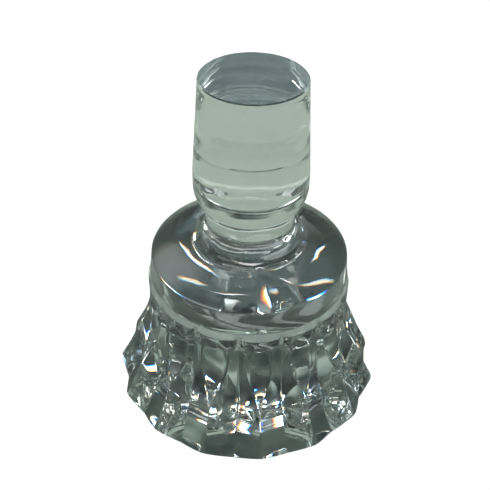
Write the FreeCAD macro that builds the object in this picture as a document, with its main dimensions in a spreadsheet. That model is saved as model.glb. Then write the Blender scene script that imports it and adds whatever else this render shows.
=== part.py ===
"""Cut crystal piece in four hot-joined gathers of glass, one above the other.

A flared base cut with mitre grooves carries a foot ring, a short neck and a solid tapered peg.
Millimetres, +Z up, origin at the centre of the flat face that the piece stands on.
"""
import FreeCAD, Part
import math
import os
import Sketcher

doc = FreeCAD.newDocument("CutCrystal")

# Driving sizes. Radii are from the common axis, heights are of one stretch each.
SIZES = {
    # blank of the cut base, before the grooves are cut
    "widest_radius": 33.1,
    "foot_bevel": 1.9,              # the flat face is this much smaller all round
    "foot_height": 1.9,             # bevel from the foot up to the widest ring
    "skirt_height": 30.2,           # widest ring to fillet
    "skirt_top_radius": 24.3,
    "wall_height": 5.1,             # upright wall between the flare and the fillet
    "flare_curve": 25.0,            # bend from the wall out into the leaning skirt
    "fillet_height": 1.8,
    "fillet_radius": 4.0,
    "fillet_step": 0.6,
    "band_height": 5.5,
    "band_narrowing": 0.5,
    "shoulder_rise": 3.7,
    "shoulder_curve": 23.0,
    # mitre grooves, each cut by a wheel that stands upright against the skirt
    "groove_count": 15,
    "groove_turn": -5.0,            # degrees from -Y to the nearest groove
    "wall_cut": 0.65,               # groove's depth where it is shallowest
    "foot_cut": 2.45,               # groove's depth at the widest ring
    "wheel_drop": 3.1,              # fillet down to the level of the wheel's centre
    "wheel_edge_angle": 149.0,
    "wheel_spare": 2.1,             # width of wheel that overhangs the groove, each side
    # foot ring and neck
    "neck_radius": 10.3,
    "neck_height": 3.6,
    "ring_step": 3.1,
    "ring_lip": 0.5,
    "ring_height": 6.1,
    "ring_curve": 8.0,
    # peg
    "collar_step": 1.4,
    "collar_height": 1.1,
    "bulge_height": 5.1,
    "bulge_curve": 8.9,
    "plain_height": 2.8,
    "peg_radius": 13.0,
    "taper_height": 22.2,
    "taper_angle": 3.75,            # degrees that the ground side leans in from upright
    "peg_bevel": 0.25,
}

# Values worked out from the driving sizes, in the sheet's own formulas.
LEVELS = {
    "skirt_top": "=Sizes.foot_height + Sizes.skirt_height",
    "fillet_top": "=skirt_top + Sizes.fillet_height",
    "rim": "=fillet_top + Sizes.band_height",
    "shoulder_top": "=rim + Sizes.shoulder_rise",
    "lip_top": "=shoulder_top + Sizes.ring_lip",
    "ring_top": "=shoulder_top + Sizes.ring_height",
    "neck_top": "=ring_top + Sizes.neck_height",
    "collar_top": "=neck_top + Sizes.collar_height",
    "bulge_top": "=collar_top + Sizes.bulge_height",
    "plain_top": "=bulge_top + Sizes.plain_height",
    "peg_top": "=plain_top + Sizes.taper_height",
    "bevel_bottom": "=peg_top - Sizes.peg_bevel",
    # radii that follow their neighbours
    "foot_radius": "=Sizes.widest_radius - Sizes.foot_bevel",
    "band_foot_radius": "=Sizes.skirt_top_radius - Sizes.fillet_step",
    "rim_radius": "=band_foot_radius - Sizes.band_narrowing",
    "ring_radius": "=Sizes.neck_radius + Sizes.ring_step",
    "collar_radius": "=Sizes.neck_radius + Sizes.collar_step",
    "peg_end_radius": "=Sizes.peg_radius - (bevel_bottom - plain_top) * tan(Sizes.taper_angle)",
    "peg_flat_radius": "=peg_end_radius - Sizes.peg_bevel",
    # the flare: a straight lean from the widest ring, then a bend that ends upright
    "flare_top": "=skirt_top - Sizes.wall_height",
    "flare_rise": "=flare_top - Sizes.foot_height",
    "flare_reach": "=Sizes.skirt_top_radius + Sizes.flare_curve - Sizes.widest_radius",
    "bend_distance": "=sqrt(flare_rise ^ 2 + flare_reach ^ 2)",
    "lean_length": "=sqrt(bend_distance ^ 2 - Sizes.flare_curve ^ 2)",
    "lean_inwards": "=(flare_rise * Sizes.flare_curve - flare_reach * lean_length)"
                    " / bend_distance ^ 2",
    "lean_upwards": "=(flare_reach * Sizes.flare_curve + flare_rise * lean_length)"
                    " / bend_distance ^ 2",
    "lean_top_radius": "=Sizes.widest_radius - lean_length * lean_inwards",
    "lean_top": "=Sizes.foot_height + lean_length * lean_upwards",
    # half section of the cutting wheel
    "half_pitch": "=180 / Sizes.groove_count",
    "groove_waist": "=Sizes.skirt_top_radius - Sizes.wall_cut",
    "wheel_height": "=skirt_top - Sizes.wheel_drop",
    "wheel_rise": "=wheel_height - Sizes.foot_height",
    "wheel_sag": "=Sizes.widest_radius - Sizes.foot_cut - groove_waist",
    "wheel_radius": "=(wheel_rise ^ 2 + wheel_sag ^ 2) / (2 * wheel_sag)",
    "wheel_half_width": "=Sizes.widest_radius * tan(half_pitch) + Sizes.wheel_spare",
    "wheel_axis": "=groove_waist + wheel_radius",
    "wheel_flank": "=groove_waist + wheel_half_width / tan(Sizes.wheel_edge_angle / 2)",
}


def make_sheet(name, cells):
    """A spreadsheet with one named cell to each row."""
    sheet = doc.addObject("Spreadsheet::Sheet", name)
    for row, (alias, content) in enumerate(cells.items(), start=1):
        sheet.set(f"A{row}", alias)
        sheet.setAlias(f"B{row}", alias)
        sheet.set(f"B{row}", str(content))
    doc.recompute()
    return sheet


SHEETS = {"Sizes": make_sheet("Sizes", SIZES), "Levels": make_sheet("Levels", LEVELS)}


def value(name):
    """The number in a named cell, such as Sizes.rim_radius; 0 stands for itself."""
    if name == 0:
        return 0.0
    sheet, alias = name.split(".")
    return float(SHEETS[sheet].get(alias))


def origin_part(body, role):
    """One of the planes or axes of the body's own origin."""
    return next(item for item in body.Origin.OriginFeatures if item.Role == role)


def new_sketch(body, name, role):
    """An empty sketch on one of the body's origin planes."""
    sketch = body.newObject("Sketcher::SketchObject", name)
    sketch.AttachmentSupport = [(origin_part(body, role), "")]
    sketch.MapMode = "FlatFace"
    return sketch


def bent_edge(start, end, radius, outwards):
    """The arc from start to end, and whether it runs from start to end anticlockwise."""
    chord = end - start
    middle = (start + end) * 0.5
    side = FreeCAD.Vector(-chord.y, chord.x, 0).normalize()
    reach = math.sqrt(radius ** 2 - (chord.Length / 2) ** 2)
    centre = middle + side * (reach if outwards else -reach)
    circle = Part.Circle(centre, FreeCAD.Vector(0, 0, 1), radius)
    angles = [math.atan2(p.y - centre.y, p.x - centre.x) for p in (start, end)]
    if not outwards:
        angles.reverse()
    return Part.ArcOfCircle(circle, angles[0], angles[1]), outwards


def closed_outline(sketch, corners, bends):
    """Edges from corner to corner, anticlockwise, each corner held by two named values.

    bends gives the edges that are arcs: index of the first corner, radius, bulging outwards or not.
    """
    points = [FreeCAD.Vector(sign * value(x), value(y) * flip, 0) for sign, x, flip, y in corners]
    ends = []
    for index, start in enumerate(points):
        end = points[(index + 1) % len(points)]
        if index in bends:
            radius, outwards = bends[index]
            edge, forwards = bent_edge(start, end, value(radius), outwards)
            ends.append((1, 2) if forwards else (2, 1))
        else:
            edge = Part.LineSegment(start, end)
            ends.append((1, 2))
        sketch.addGeometry(edge, False)
    for index, (sign, x, flip, y) in enumerate(corners):
        before = index - 1 if index else len(corners) - 1
        sketch.addConstraint(
            Sketcher.Constraint("Coincident", before, ends[before][1], index, ends[index][0]))
        for kind, name, axis, factor in (("DistanceX", x, -2, sign), ("DistanceY", y, -1, flip)):
            hold_corner(sketch, index, ends[index][0], kind, name, axis, factor)
    for index, (radius, _) in bends.items():
        number = sketch.addConstraint(Sketcher.Constraint("Radius", index, value(radius)))
        sketch.setExpression(f"Constraints[{number}]", radius)


def hold_corner(sketch, edge, end, kind, name, axis, factor):
    """Hold one coordinate of a corner: on the axis where it is 0, else at a named value."""
    if name == 0:
        sketch.addConstraint(Sketcher.Constraint("PointOnObject", edge, end, axis))
        return
    number = sketch.addConstraint(Sketcher.Constraint(kind, edge, end, factor * value(name)))
    sketch.setExpression(f"Constraints[{number}]", name if factor > 0 else f"-{name}")


def spun_body(label, corners, bends):
    """A body turned about the axis from a half outline of (radius, height) corners."""
    body = doc.addObject("PartDesign::Body", label)
    sketch = new_sketch(body, f"{label}_outline", "XZ_Plane")
    closed_outline(sketch, [(1, x, 1, y) for x, y in corners], bends)
    turned = body.newObject("PartDesign::Revolution", f"{label}_turned")
    turned.Profile = sketch
    turned.ReferenceAxis = (sketch, ["V_Axis"])
    turned.Angle = 360
    body.Tip = turned
    doc.recompute()
    return body


def cut_grooves(body):
    """Mitre grooves round the skirt: one pass of a V-edged wheel, repeated round the axis."""
    sketch = new_sketch(body, "wheel_section", "XY_Plane")
    sketch.setExpression("AttachmentOffset.Base.z", "Levels.wheel_height")
    half = "Levels.wheel_half_width"
    corners = [(1, 0, -1, "Levels.groove_waist"), (-1, half, -1, "Levels.wheel_flank"),
               (-1, half, -1, "Levels.wheel_axis"), (1, half, -1, "Levels.wheel_axis"),
               (1, half, -1, "Levels.wheel_flank")]
    closed_outline(sketch, corners, {})
    blank_volume = body.Shape.Volume
    groove = body.newObject("PartDesign::Groove", "groove")
    groove.Profile = sketch
    groove.ReferenceAxis = (sketch, ["Edge3"])
    groove.Angle = 360
    body.Tip = groove
    doc.recompute()
    one_cut = blank_volume - body.Shape.Volume
    round_it = body.newObject("PartDesign::PolarPattern", "grooves_round")
    round_it.Originals = [groove]
    round_it.Axis = (origin_part(body, "Z_Axis"), [""])
    round_it.Angle = 360
    round_it.setExpression("Occurrences", "Sizes.groove_count")
    body.Tip = round_it
    doc.recompute()
    all_cuts = blank_volume - body.Shape.Volume
    if one_cut <= 0 or all_cuts < 0.5 * one_cut * value("Sizes.groove_count"):
        raise RuntimeError("the grooves didn't cut the skirt")
    body.Placement = FreeCAD.Placement(FreeCAD.Vector(), FreeCAD.Vector(0, 0, 1), 1)
    body.setExpression("Placement.Rotation.Angle", "Sizes.groove_turn")


def make_cut_base():
    """Flared skirt, fillet, upright band and domed shoulder; the skirt is then cut."""
    corners = [
        (0, 0),
        ("Levels.foot_radius", 0),
        ("Sizes.widest_radius", "Sizes.foot_height"),
        ("Levels.lean_top_radius", "Levels.lean_top"),
        ("Sizes.skirt_top_radius", "Levels.flare_top"),
        ("Sizes.skirt_top_radius", "Levels.skirt_top"),
        ("Levels.band_foot_radius", "Levels.fillet_top"),
        ("Levels.rim_radius", "Levels.rim"),
        ("Levels.ring_radius", "Levels.shoulder_top"),
        (0, "Levels.shoulder_top"),
    ]
    bends = {3: ("Sizes.flare_curve", False), 5: ("Sizes.fillet_radius", False),
             7: ("Sizes.shoulder_curve", True)}
    body = spun_body("cut_base", corners, bends)
    cut_grooves(body)
    return body


def make_foot_ring():
    """The bead that joins neck to shoulder: a low lip that sweeps in to the neck."""
    corners = [
        (0, "Levels.shoulder_top"),
        ("Levels.ring_radius", "Levels.shoulder_top"),
        ("Levels.ring_radius", "Levels.lip_top"),
        ("Sizes.neck_radius", "Levels.ring_top"),
        (0, "Levels.ring_top"),
    ]
    return spun_body("foot_ring", corners, {2: ("Sizes.ring_curve", False)})


def make_neck():
    """The short round neck between foot ring and peg."""
    neck = doc.addObject("Part::Cylinder", "neck")
    neck.setExpression("Radius", "Sizes.neck_radius")
    neck.setExpression("Height", "Sizes.neck_height")
    neck.setExpression("Placement.Base.z", "Levels.ring_top")
    return neck


def make_peg():
    """Solid peg: collar, rounded bulge and plain belt below, ground taper and flat end above."""
    corners = [
        (0, "Levels.neck_top"),
        ("Sizes.neck_radius", "Levels.neck_top"),
        ("Levels.collar_radius", "Levels.collar_top"),
        ("Sizes.peg_radius", "Levels.bulge_top"),
        ("Sizes.peg_radius", "Levels.plain_top"),
        ("Levels.peg_end_radius", "Levels.bevel_bottom"),
        ("Levels.peg_flat_radius", "Levels.peg_top"),
        (0, "Levels.peg_top"),
    ]
    return spun_body("peg", corners, {2: ("Sizes.bulge_curve", True)})


def check_document(pieces):
    """Stop if any object failed, or if a piece isn't one valid solid."""
    for item in doc.Objects:
        if "Invalid" in item.State or "Error" in item.State:
            raise RuntimeError(f"{item.Label} failed: {item.State}")
    for piece in pieces:
        shape = piece.Shape
        if shape.isNull() or not shape.isValid() or len(shape.Solids) != 1:
            raise RuntimeError(f"{piece.Label} isn't one valid solid")


def main():
    pieces = [make_cut_base(), make_foot_ring(), make_neck(), make_peg()]
    for piece in pieces:
        piece.Label = piece.Name
    doc.recompute()
    check_document(pieces)
    os.makedirs("parts", exist_ok=True)
    for piece in pieces:
        piece.Shape.exportStep(f"parts/{piece.Label}.step")
        box = piece.Shape.optimalBoundingBox(False)
        print(f"{piece.Label}: {piece.Shape.Volume:.0f} mm3, z {box.ZMin:.2f} to {box.ZMax:.2f}")


main()
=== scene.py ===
"""Looks of the cut crystal stopper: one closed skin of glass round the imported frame, on a pale table."""

import math

import bmesh
import bpy
from mathutils import Matrix, Vector


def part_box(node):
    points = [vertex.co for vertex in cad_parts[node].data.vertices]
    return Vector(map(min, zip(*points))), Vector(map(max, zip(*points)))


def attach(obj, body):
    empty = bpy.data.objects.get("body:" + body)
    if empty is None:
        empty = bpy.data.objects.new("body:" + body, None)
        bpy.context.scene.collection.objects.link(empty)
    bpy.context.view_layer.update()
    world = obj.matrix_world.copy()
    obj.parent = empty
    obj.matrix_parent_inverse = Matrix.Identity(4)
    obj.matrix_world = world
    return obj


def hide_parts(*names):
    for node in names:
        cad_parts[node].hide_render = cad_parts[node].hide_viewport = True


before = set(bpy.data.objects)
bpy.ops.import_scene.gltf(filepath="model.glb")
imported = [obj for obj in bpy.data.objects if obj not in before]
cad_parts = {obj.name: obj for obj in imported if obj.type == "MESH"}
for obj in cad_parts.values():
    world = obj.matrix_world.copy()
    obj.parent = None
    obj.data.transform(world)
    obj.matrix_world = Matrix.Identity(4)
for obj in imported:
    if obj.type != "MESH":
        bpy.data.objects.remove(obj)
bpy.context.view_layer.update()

MM = 0.001


def box_corners(node):
    """Low and high corner of a CAD node's box, in millimetres."""
    return [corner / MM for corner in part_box(node)]


# Heights and radii of the four nodes, in millimetres.
BASE_LOW, BASE_HIGH = box_corners("cut_base")
RING_HIGH = box_corners("foot_ring")[1]
NECK_HIGH = box_corners("neck")[1]
PEG_HIGH = box_corners("peg")[1]
WIDEST = max(-BASE_LOW.x, BASE_HIGH.x, -BASE_LOW.y, BASE_HIGH.y)
RING_RADIUS = RING_HIGH.x
NECK_RADIUS = NECK_HIGH.x
PEG_RADIUS = PEG_HIGH.x

# Finer sizes of the blank, in millimetres.
FOOT_BEVEL = 1.9
SKIRT_TOP = 32.1
SKIRT_TOP_RADIUS = 24.3
WALL_HEIGHT = 5.1
FLARE_CURVE = 25.0
FILLET_HEIGHT = 1.8
FILLET_TOP = SKIRT_TOP + FILLET_HEIGHT
FILLET_CURVE = 4.0
FILLET_STEP = 0.6
BAND_HEIGHT = 5.5
BAND_NARROWING = 0.5
SHOULDER_CURVE = 23.0
RING_LIP = 0.5
RING_CURVE = 8.0
COLLAR_STEP = 1.4
COLLAR_HEIGHT = 1.1
BULGE_HEIGHT = 5.1
BULGE_CURVE = 8.9
PLAIN_HEIGHT = 2.8
TAPER_ANGLE = math.radians(3.75)
PEG_BEVEL = 0.25

# Shallow rings that turning left on the peg: height of each, and its depth.
RING_MARKS = {59.6: 0.09, 69.0: 0.02, 75.7: 0.03}
RING_MARK_HALF = 0.3
RING_MARK_SHALLOW = 0.7

# Small round on each corner of the outline, which takes no more than this share of an edge.
CORNER_ROUND = 0.25
EDGE_SHARE = 0.45
SAME_POINT = 0.001
NEAR = 0.01

# Mitre grooves, cut by a V-edged wheel whose rim is an arc from the skirt's wall down to the foot.
GROOVE_COUNT = 15
GROOVE_TURN = math.radians(-5.0)
HALF_PITCH = math.pi / GROOVE_COUNT
HALF_COLUMNS = 12
COLUMNS = 2 * GROOVE_COUNT * HALF_COLUMNS
WALL_CUT = 0.65
FOOT_CUT = 2.45
WHEEL_DROP = 3.1
WHEEL_HEIGHT = SKIRT_TOP - WHEEL_DROP
WHEEL_EDGE = math.radians(149.0)
WAIST = SKIRT_TOP_RADIUS - WALL_CUT
WHEEL_RISE = WHEEL_HEIGHT - FOOT_BEVEL
WHEEL_SAG = WIDEST - FOOT_CUT - WAIST
WHEEL_RADIUS = (WHEEL_RISE ** 2 + WHEEL_SAG ** 2) / (2 * WHEEL_SAG)
RADIUS_PASSES = 12
BORDER_PASSES = 24

# Round on each valley and ridge, and the least that it leaves of a groove's side and of a ridge, in rounds.
EDGE_ROUND = 0.2
LEAST_SIDE = 3.1
LEAST_RIDGE = 5
BLEND = EDGE_ROUND / 4
FAR_BELOW = 30

# What the cutter's hand adds to a groove: depth in millimetres and angle in radians.
HAND_DEPTH = 0.12
HAND_TURN = 0.005

# Little hollow where each groove ends under the fillet.
TAB_LOW = 28.9
TAB_HIGH = SKIRT_TOP + FILLET_HEIGHT * 0.6
TAB_RISE = 0.5
TAB_HALF_WIDTH = 0.65
TAB_SIDE = 0.2
TAB_DEPTH = 0.3

# Lead crystal: faint grey-green through its depth. A finish is its least and its greatest roughness.
BODY_COLOUR = (0.90, 0.94, 0.93)
GROUND_COLOUR = (0.80, 0.90, 0.86)
LEAD_IOR = 1.55
TINT = (0.50, 0.60, 0.57, 1)
TINT_DENSITY = 4.5
POLISHED = (0.0, 0.012)
GROUND = (0.15, 0.35)
GROUND_CLEARNESS = 0.6
GRAIN_SCALE = 1500.0
GRAIN_LOW, GRAIN_HIGH = 0.3, 0.7
WAVE_SCALE = 110.0
WAVE_DEPTH = 0.00035
WAVES_ON_CUTS = 0.05
LATHE_STRETCH = (14, 14, 420)
LATHE_DEPTH = 0.00008
SHARP_EDGE = math.radians(30)

# The table: its painted shadow under the glass changes with the distance from the axis, in metres: darkest
# in a ring under the foot, lighter at the centre, unshaded grey-green beyond.
TABLE_RADIUS = 1.6
TABLE_SIDES = 96
TABLE_DROP = 0.00005
TABLE_PAINTED_SHADOW = (
    (0.024, (0.42, 0.475, 0.47)),
    (0.028, (0.19, 0.215, 0.205)),
    (0.050, (0.19, 0.215, 0.205)),
    (0.062, (0.74, 0.835, 0.735)),
)
TABLE_GLOW = 0.85
BACKDROP = (0.95, 0.96, 0.95, 1)

LENS = 58.8
SENSOR = 36
NEAREST_SEEN = 0.01
CAMERA_PLACE = Vector((-0.07, -147.3, 159.9)) * MM
CAMERA_YAW = math.radians(0.378)
CAMERA_PITCH = math.radians(39.136)
CAMERA_ROLL = math.radians(1.199)

# The dim room, from the floor up, and the doors, shelves and curtains round it.
ROOM_SHADES = (
    (0.0, (0.16, 0.18, 0.17)),
    (0.3, (0.105, 0.13, 0.115)),
    (0.5, (0.080, 0.103, 0.092)),
    (0.65, (0.14, 0.165, 0.15)),
    (0.76, (0.045, 0.06, 0.058)),
    (0.88, (0.13, 0.145, 0.145)),
    (1.0, (0.06, 0.07, 0.075)),
)
UPRIGHT_SHADES = (
    (0.36, (0.32, 0.34, 0.38)),
    (0.45, (0.62, 0.64, 0.66)),
    (0.55, (0.95, 0.95, 0.95)),
    (0.64, (1.25, 1.25, 1.2)),
    (0.72, (3.2, 3.2, 3.2)),
)
UPRIGHT_STRETCH = (1, 1, 0.22)
UPRIGHT_SCALE = 4.0

# Soft windows and lamps of the room: azimuth, elevation, width and height in degrees,
# strength and colour. The mirror lamps are seen only in the outer surface; the others light the rest.
WINDOWS = {
    "key": (0, 48, 84, 36, 4.5, (1.0, 1.0, 1.0)),
    "left_side": (-95, 22, 24, 26, 3.0, (1.0, 1.0, 1.0)),
    "right_side": (100, 18, 20, 20, 3.0, (1.0, 1.0, 1.0)),
    "left_ceiling": (-158, 69, 9, 9, 9.0, (0.97, 1.0, 1.0)),
    "right_ceiling": (163, 66, 9, 8, 9.0, (0.97, 1.0, 1.0)),
    "back_ceiling": (-178, 57, 5, 8, 7.0, (1.0, 1.0, 0.95)),
    "left_behind": (-120, 50, 6, 12, 8.0, (0.9, 0.97, 1.0)),
    "right_behind": (128, 48, 6, 12, 8.0, (1.0, 0.97, 0.9)),
}
MIRROR_LAMPS = {
    "left_streak": (-151, 50, 3.5, 38, 26.0, (0.95, 1.0, 1.0)),
    "right_streak": (147, 38, 3, 20, 24.0, (0.95, 1.0, 1.0)),
    "left_glow": (-116, 56, 6, 26, 15.0, (1.0, 0.95, 0.8)),
    "right_glow": (113, 46, 5, 36, 16.0, (1.0, 0.95, 0.8)),
    "top_glow": (114, 76, 10, 7, 12.0, (1.0, 1.0, 1.0)),
    "strip": (-100, 80, 2, 26, 20.0, (1.0, 1.0, 1.0)),
    "right_strip": (138, 66, 22, 1.6, 20.0, (1.0, 1.0, 1.0)),
    "broad_left": (-125, 38, 50, 60, 1.7, (1.0, 1.0, 1.0)),
    "ceiling": (180, 28, 60, 22, 1.1, (0.75, 0.95, 1.0)),
    "front_window": (0, 44, 60, 10, 10.0, (1.0, 1.0, 1.0)),
}
EDGE_SOFTNESS = 0.6
FRINGE = 0.15
WIDEST_FRINGED = 10

# Paths of light through the glass.
GLASS_BOUNCES = 24
MIRROR_BOUNCES = 16
BRIGHTEST_BOUNCE = 25


def arc(start, end, radius, outwards, steps):
    """Points after start, up to end, on the arc between them."""
    start, end = Vector(start), Vector(end)
    chord = end - start
    side = Vector((-chord.y, chord.x)).normalized()
    reach = math.sqrt(radius ** 2 - (chord.length / 2) ** 2)
    centre = (start + end) / 2 + side * (reach if outwards else -reach)
    first, last = start - centre, end - centre
    turn = first.angle_signed(last)
    return [centre + Matrix.Rotation(-turn * step / steps, 2) @ first for step in range(1, steps + 1)]


def straight(start, end, steps):
    """Points after start, up to end, on a straight line."""
    start, end = Vector(start), Vector(end)
    return [start.lerp(end, step / steps) for step in range(1, steps + 1)]


def eased(points, corners):
    """The outline with each of the corners replaced by a small round."""
    made = []
    for before, point, after in zip([None] + points, points, points[1:] + [None]):
        if not any((point - corner).length < SAME_POINT for corner in corners):
            made.append(point)
            continue
        back, on = before - point, after - point
        reach = min(CORNER_ROUND, back.length * EDGE_SHARE, on.length * EDGE_SHARE)
        first = point + back.normalized() * reach
        last = point + on.normalized() * reach
        for part in (0, 1 / 3, 2 / 3, 1):
            made.append(first * (1 - part) ** 2 + point * 2 * part * (1 - part) + last * part ** 2)
    return made


def peg_side(bulge_top, plain_top, taper_top):
    """Belt and taper of the peg, with the shallow rings on them."""
    points = []
    below = bulge_top
    for mark, depth in RING_MARKS.items():
        on_belt = mark < plain_top.y
        start, end = (bulge_top, plain_top) if on_belt else (plain_top, taper_top)
        middle = start.lerp(end, (mark - start.y) / (end.y - start.y))
        edge = (end - start).normalized() * RING_MARK_HALF
        deep = Vector((depth, 0))
        shallow = Vector((depth * RING_MARK_SHALLOW, 0))
        points += straight(below, middle - edge, steps=3)
        points += [middle - edge / 2 - shallow, middle - deep, middle + edge / 2 - shallow, middle + edge]
        below = middle + edge
        if on_belt:
            points += straight(below, plain_top, steps=2)
            below = plain_top
    return points + straight(below, taper_top, steps=3)


def blank_outline():
    """Half outline of the whole piece before it is cut, from the foot's centre up to the peg's centre."""
    foot = (WIDEST - FOOT_BEVEL, 0)
    widest = Vector((WIDEST, FOOT_BEVEL))
    flare_top = Vector((SKIRT_TOP_RADIUS, SKIRT_TOP - WALL_HEIGHT))
    to_bend = flare_top + Vector((FLARE_CURVE, 0)) - widest
    lean_length = math.sqrt(to_bend.length ** 2 - FLARE_CURVE ** 2)
    turn = math.atan2(FLARE_CURVE, lean_length)
    lean_top = widest + Matrix.Rotation(-turn, 2).transposed() @ to_bend.normalized() * lean_length
    skirt_top = Vector((SKIRT_TOP_RADIUS, SKIRT_TOP))
    fillet_top = skirt_top + Vector((-FILLET_STEP, FILLET_HEIGHT))
    rim = fillet_top + Vector((-BAND_NARROWING, BAND_HEIGHT))
    ring_foot = Vector((RING_RADIUS, BASE_HIGH.z))
    lip_top = ring_foot + Vector((0, RING_LIP))
    ring_top = Vector((NECK_RADIUS, RING_HIGH.z))
    neck_top = Vector((NECK_RADIUS, NECK_HIGH.z))
    collar = neck_top + Vector((COLLAR_STEP, COLLAR_HEIGHT))
    bulge_top = Vector((PEG_RADIUS, collar.y + BULGE_HEIGHT))
    plain_top = bulge_top + Vector((0, PLAIN_HEIGHT))
    taper = PEG_HIGH.z - PEG_BEVEL - plain_top.y
    taper_top = Vector((PEG_RADIUS - taper * math.tan(TAPER_ANGLE), PEG_HIGH.z - PEG_BEVEL))
    peg_flat = Vector((taper_top.x - PEG_BEVEL, PEG_HIGH.z))
    points = [Vector((0, 0))]
    points += straight((0, 0), foot, steps=12)
    points += straight(foot, widest, steps=10)
    points += straight(widest, lean_top, steps=18)
    points += arc(lean_top, flare_top, FLARE_CURVE, outwards=False, steps=14)
    points += straight(flare_top, skirt_top, steps=8)
    points += arc(skirt_top, fillet_top, FILLET_CURVE, outwards=False, steps=8)
    points += straight(fillet_top, rim, steps=3)
    points += arc(rim, ring_foot, SHOULDER_CURVE, outwards=True, steps=14)
    points += straight(ring_foot, lip_top, steps=1)
    points += arc(lip_top, ring_top, RING_CURVE, outwards=False, steps=10)
    points += straight(ring_top, neck_top, steps=3)
    points += straight(neck_top, collar, steps=2)
    points += arc(collar, bulge_top, BULGE_CURVE, outwards=True, steps=10)
    points += peg_side(bulge_top, plain_top, taper_top)
    points += straight(taper_top, peg_flat, steps=1)
    points += straight(peg_flat, (0, PEG_HIGH.z), steps=6)
    return eased(points, [skirt_top, fillet_top, rim, ring_foot, lip_top, ring_top, neck_top, collar])


def cut_radius(turn, height):
    """Distance from the axis to the wheel's cut, at an angle from the groove's middle."""
    from_middle = height - WHEEL_HEIGHT
    radius = WAIST
    for _ in range(RADIUS_PASSES):
        edge = WHEEL_RADIUS - radius * math.sin(turn) / math.tan(WHEEL_EDGE / 2)
        depth = WAIST + WHEEL_RADIUS - math.sqrt(edge ** 2 - from_middle ** 2)
        radius = depth / math.cos(turn)
    return radius


def groove_half_angle(blank_radius, height):
    """Angle from the groove's middle out to where the cut leaves the blank's surface."""
    low, high = 0.0, HALF_PITCH
    if cut_radius(high, height) < blank_radius:
        return high
    for _ in range(BORDER_PASSES):
        middle = (low + high) / 2
        if cut_radius(middle, height) < blank_radius:
            low = middle
        else:
            high = middle
    return low


def column_turns(blank_radius, height):
    """Angle of each column of a half pitch from the groove's middle: close together at each edge."""
    unit = EDGE_ROUND / blank_radius
    border = groove_half_angle(blank_radius, height)
    if height > TAB_LOW:
        border = TAB_HALF_WIDTH / blank_radius
    border = min(max(border, LEAST_SIDE * unit), HALF_PITCH - LEAST_RIDGE * unit)
    valley = [0, unit / 2, unit, 2 * unit]
    slope = [(2 * unit + border - unit) / 2, border - unit, border, border + unit]
    flat = [(border + HALF_PITCH - unit) / 2]
    ridge = [HALF_PITCH - 2 * unit, HALF_PITCH - unit, HALF_PITCH - unit / 2, HALF_PITCH]
    return valley + slope + flat + ridge


def groove_reach(blank_radius, turn, height, deeper):
    """Distance from the axis to the surface, with the valley and the ridge a little rounded."""
    soft = EDGE_ROUND / blank_radius / 2
    turn = math.hypot(turn, soft)
    turn = HALF_PITCH - math.hypot(HALF_PITCH - turn, soft)
    apart = (cut_radius(turn, height) - deeper - blank_radius) / BLEND
    return blank_radius - BLEND * (math.log1p(math.exp(-apart)) if apart > -FAR_BELOW else -apart)


def hand_depth(angle):
    """How much deeper the wheel went at an angle round the skirt."""
    return HAND_DEPTH * (2 + math.sin(3 * angle + 1) + math.sin(5 * angle + 2)) / 4


def hand_turn(angle):
    """How far round the wheel strayed at an angle round the skirt."""
    return HAND_TURN * (math.sin(6 * angle + 0.4) + math.sin(11 * angle + 2))


def tab_depth(blank_radius, turn, height):
    """Depth of the little hollow at the groove's upper end."""
    if height >= TAB_HIGH:
        return 0
    half = TAB_HALF_WIDTH / blank_radius
    across = min(max((half * (1 + TAB_SIDE) - turn) / (half * 2 * TAB_SIDE), 0), 1)
    upward = min(max((height - TAB_LOW) / TAB_RISE, 0), 1)
    return TAB_DEPTH * across * upward


def cut_grooves(mesh):
    """Moves the spun blank's columns onto the grooves; the fillet and the hollows stay ground."""
    ground = set()
    step = 2 * math.pi / COLUMNS
    rows = {}
    for vert in mesh.verts:
        height, radius = vert.co.z, vert.co.xy.length
        on_foot = height < NEAR and radius < WIDEST - FOOT_BEVEL - NEAR
        if on_foot or height > FILLET_TOP + NEAR:
            continue
        column = round(math.atan2(vert.co.y, vert.co.x) / step)
        groove, place = divmod(column + HALF_COLUMNS, 2 * HALF_COLUMNS)
        place -= HALF_COLUMNS
        row = (round(radius, 4), round(height, 4))
        if row not in rows:
            rows[row] = column_turns(radius, height)
        turn = rows[row][abs(place)]
        angle = groove * 2 * HALF_PITCH + math.copysign(turn, place)
        hollow = tab_depth(radius, turn, height)
        if hollow > TAB_DEPTH / 2 or height >= SKIRT_TOP:
            ground.add(vert)
        reach = min(radius, groove_reach(radius, turn, height, hand_depth(angle))) - hollow
        angle += hand_turn(angle)
        vert.co.x = reach * math.cos(angle)
        vert.co.y = reach * math.sin(angle)
    for face in mesh.faces:
        if all(vert in ground for vert in face.verts):
            face.material_index = 1


def linked_object(name, data):
    """A new object at the origin, in the scene."""
    made = bpy.data.objects.new(name, data)
    bpy.context.scene.collection.objects.link(made)
    return made


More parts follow.
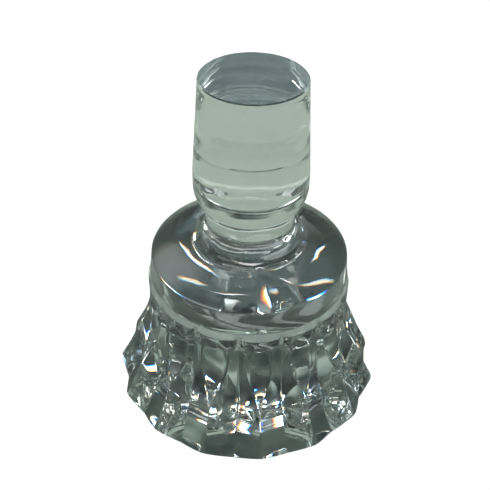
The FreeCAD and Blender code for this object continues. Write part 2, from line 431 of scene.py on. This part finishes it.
def glass_piece():
    """The whole stopper as one closed skin."""
    mesh = bmesh.new()
    outline = [mesh.verts.new((point.x, 0, point.y)) for point in blank_outline()]
    edges = [mesh.edges.new(pair) for pair in zip(outline, outline[1:])]
    bmesh.ops.spin(mesh, geom=outline + edges, cent=(0, 0, 0), axis=(0, 0, 1), dvec=(0, 0, 0),
                   angle=2 * math.pi, steps=COLUMNS, use_merge=True, use_duplicate=False)
    bmesh.ops.remove_doubles(mesh, verts=mesh.verts, dist=SAME_POINT)
    cut_grooves(mesh)
    bmesh.ops.recalc_face_normals(mesh, faces=mesh.faces)
    bmesh.ops.rotate(mesh, verts=mesh.verts, cent=(0, 0, 0),
                     matrix=Matrix.Rotation(GROOVE_TURN - math.pi / 2, 3, "Z"))
    bmesh.ops.scale(mesh, vec=(MM, MM, MM), verts=mesh.verts)
    for face in mesh.faces:
        face.smooth = True
    data = bpy.data.meshes.new("stopper_glass")
    mesh.to_mesh(data)
    mesh.free()
    data.set_sharp_from_angle(angle=SHARP_EDGE)
    return linked_object("stopper_glass", data)


def add(tree, kind, inputs=None, **settings):
    """A new node with its settings, each input given a value or joined to a socket."""
    made = tree.nodes.new(kind)
    for name, value in settings.items():
        setattr(made, name, value)
    for name, value in (inputs or {}).items():
        if isinstance(value, bpy.types.NodeSocket):
            tree.links.new(value, made.inputs[name])
        else:
            made.inputs[name].default_value = value
    return made


def product(tree, first, second):
    """The two values multiplied."""
    return add(tree, "ShaderNodeMath", {0: first, 1: second}, operation="MULTIPLY").outputs["Value"]


def ramp(tree, value, shades):
    """A colour ramp over the value, from (place, colour) pairs with the lowest first."""
    made = add(tree, "ShaderNodeValToRGB", {"Fac": value})
    stops = made.color_ramp.elements
    for stop, (place, colour) in ((stops[0], shades[0]), (stops[1], shades[-1])):
        stop.position = place
        stop.color = (*colour, 1)
    for place, colour in shades[1:-1]:
        stops.new(place).color = (*colour, 1)
    return made.outputs["Color"]


def crystal(name, body_colour, clearness, finish):
    """Lead crystal with a faint grey-green body colour, polished or left a little ground by the wheel."""
    material = bpy.data.materials.new(name)
    material.use_nodes = True
    tree = material.node_tree
    surface = tree.nodes["Principled BSDF"]
    surface.inputs["Base Color"].default_value = (*body_colour, 1)
    surface.inputs["IOR"].default_value = LEAD_IOR
    surface.inputs["Transmission Weight"].default_value = clearness
    tint = add(tree, "ShaderNodeVolumeAbsorption", {"Color": TINT, "Density": TINT_DENSITY})
    tree.links.new(tint.outputs["Volume"], tree.nodes["Material Output"].inputs["Volume"])
    place = add(tree, "ShaderNodeTexCoord").outputs["Object"]
    height = add(tree, "ShaderNodeSeparateXYZ", {"Vector": place}).outputs["Z"]

    # Grain of the wheel, fine on a polished surface.
    grain = add(tree, "ShaderNodeTexNoise", {"Vector": place, "Scale": GRAIN_SCALE})
    polish = add(tree, "ShaderNodeMapRange", {
        "Value": grain.outputs["Fac"], "From Min": GRAIN_LOW, "From Max": GRAIN_HIGH,
        "To Min": finish[0], "To Max": finish[1]})
    tree.links.new(polish.outputs["Result"], surface.inputs["Roughness"])

    # Slow waves in the surface, full above the band and faint on the cuts.
    waves = add(tree, "ShaderNodeTexNoise", {"Vector": place, "Scale": WAVE_SCALE, "Detail": 1.0})
    blown = add(tree, "ShaderNodeMapRange", {
        "Value": height, "From Min": (FILLET_TOP + BAND_HEIGHT) * MM, "From Max": BASE_HIGH.z * MM,
        "To Min": WAVES_ON_CUTS})
    wavy = add(tree, "ShaderNodeBump", {
        "Strength": 1.0, "Distance": WAVE_DEPTH,
        "Height": product(tree, waves.outputs["Fac"], blown.outputs["Result"])})

    # Fine rings that turning leaves on the stem and the peg.
    flat = add(tree, "ShaderNodeMapping", {"Vector": place, "Scale": LATHE_STRETCH})
    rings = add(tree, "ShaderNodeTexNoise", {"Vector": flat.outputs["Vector"], "Scale": 1.0, "Detail": 2.0})
    stem = add(tree, "ShaderNodeMapRange", {
        "Value": height, "From Min": RING_HIGH.z * MM, "From Max": NECK_HIGH.z * MM})
    lathe = add(tree, "ShaderNodeBump", {
        "Strength": 1.0, "Distance": LATHE_DEPTH,
        "Height": product(tree, rings.outputs["Fac"], stem.outputs["Result"]),
        "Normal": wavy.outputs["Normal"]})
    tree.links.new(lathe.outputs["Normal"], surface.inputs["Normal"])
    return material


def pale_floor():
    """A table that the camera sees as white, and the glass as a soft grey-green with a painted shadow under
    the piece.
    """
    mesh = bmesh.new()
    bmesh.ops.create_circle(mesh, cap_ends=True, segments=TABLE_SIDES, radius=TABLE_RADIUS)
    bmesh.ops.translate(mesh, verts=mesh.verts, vec=(0, 0, -TABLE_DROP))
    data = bpy.data.meshes.new("table")
    mesh.to_mesh(data)
    mesh.free()
    floor = linked_object("table", data)
    material = bpy.data.materials.new("white_table")
    material.use_nodes = True
    tree = material.node_tree
    seen = tree.nodes["Principled BSDF"]
    seen.inputs["Base Color"].default_value = (0.5, 0.5, 0.5, 1)
    seen.inputs["Roughness"].default_value = 0.9
    seen.inputs["Emission Color"].default_value = (1, 1, 1, 1)
    seen.inputs["Emission Strength"].default_value = TABLE_GLOW
    place = add(tree, "ShaderNodeTexCoord").outputs["Object"]
    distance = add(tree, "ShaderNodeVectorMath", {0: place}, operation="LENGTH")
    # Painted shadow: the glass sees the table darker under the piece, darkest in a ring under the foot.
    shade = ramp(tree, distance.outputs["Value"], TABLE_PAINTED_SHADOW)
    gathered = add(tree, "ShaderNodeBsdfDiffuse", {"Color": shade})
    rays = add(tree, "ShaderNodeLightPath")
    mix = add(tree, "ShaderNodeMixShader", {
        0: rays.outputs["Is Camera Ray"], 1: gathered.outputs["BSDF"], 2: seen.outputs["BSDF"]})
    tree.links.new(mix.outputs["Shader"], tree.nodes["Material Output"].inputs["Surface"])
    data.materials.append(material)


def camera():
    """The camera, in front of the piece and above it."""
    data = bpy.data.cameras.new("camera")
    data.sensor_width = SENSOR
    data.lens = LENS
    data.clip_start = NEAREST_SEEN
    made = linked_object("camera", data)
    made.matrix_world = (
        Matrix.Translation(CAMERA_PLACE)
        @ Matrix.Rotation(CAMERA_YAW, 4, "Z")
        @ Matrix.Rotation(math.pi / 2 - CAMERA_PITCH, 4, "X")
        @ Matrix.Rotation(CAMERA_ROLL, 4, "Z"))
    bpy.context.scene.camera = made


def aim(azimuth, elevation):
    """Unit vector from the piece towards a light; azimuth 0 is towards the camera."""
    turn, rise = math.radians(azimuth), math.radians(elevation)
    return Vector((math.sin(turn) * math.cos(rise), -math.cos(turn) * math.cos(rise), math.sin(rise)))


def soft_window(tree, direction, azimuth, elevation, width, height, strength, colour):
    """Light of one window, with a colour fringe that stands in for the splitting of light by crystal."""
    forward = aim(azimuth, elevation)
    right = forward.cross(Vector((0, 0, 1))).normalized()
    upward = right.cross(forward)

    def along(axis):
        dot = add(tree, "ShaderNodeVectorMath", {0: direction, 1: axis}, operation="DOT_PRODUCT")
        return dot.outputs["Value"]

    across = along(right / math.sin(math.radians(width / 2)))
    rise = along(upward / math.sin(math.radians(height / 2)))
    front = add(tree, "ShaderNodeMath", {0: along(forward), 1: 0.0}, operation="GREATER_THAN")
    channels = add(tree, "ShaderNodeCombineColor")
    fringe = FRINGE * min(1, WIDEST_FRINGED / width)
    for name, shift, level in zip(("Red", "Green", "Blue"), (-fringe, 0, fringe), colour):
        shifted = add(tree, "ShaderNodeMath", {0: across, 1: shift}, operation="ADD")
        place = add(tree, "ShaderNodeCombineXYZ", {"X": shifted.outputs["Value"], "Y": rise})
        reach = add(tree, "ShaderNodeVectorMath", {0: place.outputs["Vector"]}, operation="LENGTH")
        edge = add(tree, "ShaderNodeMapRange", {
            "Value": reach.outputs["Value"], "From Min": 1.0, "From Max": 1.0 - EDGE_SOFTNESS,
            "To Min": 0.0, "To Max": level * strength}, interpolation_type="SMOOTHSTEP")
        lit = product(tree, edge.outputs["Result"], front.outputs["Value"])
        tree.links.new(lit, channels.inputs[name])
    return channels.outputs["Color"]


def with_windows(tree, direction, total, windows):
    """The room's light with the light of the windows added to it."""
    for window in windows.values():
        light = soft_window(tree, direction, *window)
        total = add(tree, "ShaderNodeVectorMath", {0: total, 1: light}, operation="ADD").outputs["Vector"]
    return total


def surroundings():
    """A dim room with soft windows; past the table the camera sees only a pale backdrop."""
    world = bpy.data.worlds.new("studio")
    bpy.context.scene.world = world
    world.use_nodes = True
    tree = world.node_tree
    direction = add(tree, "ShaderNodeTexCoord").outputs["Generated"]
    height = add(tree, "ShaderNodeSeparateXYZ", {"Vector": direction}).outputs["Z"]
    walls = ramp(tree, height, ROOM_SHADES)
    stretch = add(tree, "ShaderNodeMapping", {"Vector": direction, "Scale": UPRIGHT_STRETCH})
    upright = add(tree, "ShaderNodeTexNoise", {
        "Vector": stretch.outputs["Vector"], "Scale": UPRIGHT_SCALE, "Detail": 1.0, "Roughness": 0.6})
    shade = ramp(tree, upright.outputs["Fac"], UPRIGHT_SHADES)
    furnished = add(tree, "ShaderNodeVectorMath", {0: walls, 1: shade}, operation="MULTIPLY")
    room = tree.nodes["Background"]
    light = with_windows(tree, direction, furnished.outputs["Vector"], WINDOWS)
    tree.links.new(light, room.inputs["Color"])
    mirrored = add(tree, "ShaderNodeBackground", {
        "Color": with_windows(tree, direction, walls, MIRROR_LAMPS)})
    backdrop = add(tree, "ShaderNodeBackground", {"Color": BACKDROP})
    rays = add(tree, "ShaderNodeLightPath")
    outside = add(tree, "ShaderNodeMath", {0: rays.outputs["Transmission Depth"], 1: 0.5},
                  operation="LESS_THAN")
    glint = product(tree, outside.outputs["Value"], rays.outputs["Is Glossy Ray"])
    lit = add(tree, "ShaderNodeMixShader", {
        0: glint, 1: room.outputs["Background"], 2: mirrored.outputs["Background"]})
    mix = add(tree, "ShaderNodeMixShader", {
        0: rays.outputs["Is Camera Ray"], 1: lit.outputs["Shader"], 2: backdrop.outputs["Background"]})
    tree.links.new(mix.outputs["Shader"], tree.nodes["World Output"].inputs["Surface"])


piece = glass_piece()
piece.data.materials.append(crystal("lead_crystal", BODY_COLOUR, 1.0, POLISHED))
piece.data.materials.append(crystal("ground_crystal", GROUND_COLOUR, GROUND_CLEARNESS, GROUND))
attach(piece, "root")
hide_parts("cut_base", "foot_ring", "neck", "peg")

pale_floor()
camera()
surroundings()
scene = bpy.context.scene
scene.view_settings.view_transform = "Standard"
scene.cycles.max_bounces = GLASS_BOUNCES
scene.cycles.transmission_bounces = GLASS_BOUNCES
scene.cycles.glossy_bounces = MIRROR_BOUNCES
scene.cycles.sample_clamp_indirect = BRIGHTEST_BOUNCE
scene.cycles.denoising_input_passes = "RGB"
